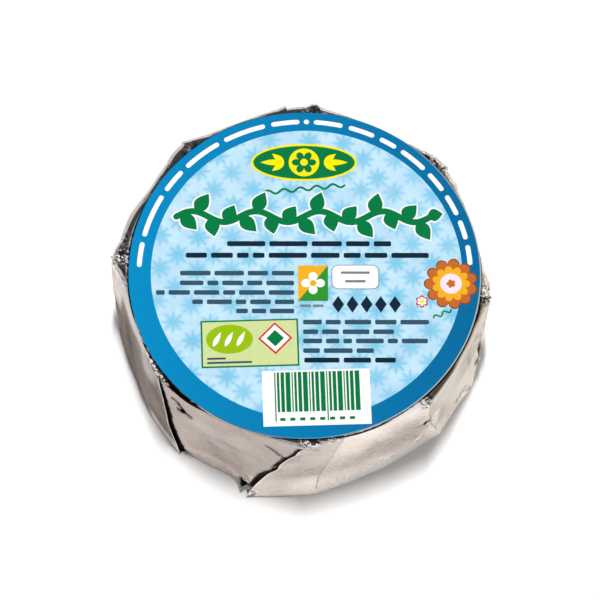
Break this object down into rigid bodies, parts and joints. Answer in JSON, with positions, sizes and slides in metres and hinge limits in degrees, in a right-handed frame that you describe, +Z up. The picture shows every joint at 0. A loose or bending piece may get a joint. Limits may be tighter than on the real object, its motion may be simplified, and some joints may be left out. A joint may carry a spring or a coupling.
{
  "type": "foil-wrapped soft cheese",
  "caption": "Small round soft cheese shut in folded, faceted foil, with a round printed paper label on its flat top.",
  "frame": {"origin": "middle of the base, on the surface the pack stands on", "axes": "+Z up through the label; -Y towards the front, where the two large wall folds are; +X to the right of it"},
  "size_m": [0.0736, 0.0734, 0.03],
  "materials": {
    "foil": "bright, finely crinkled",
    "label": "satin printed"
  },
  "bodies": {
    "root": {"foil_wrap": "foil", "paper_label": "label"}
  },
  "joints": []
}
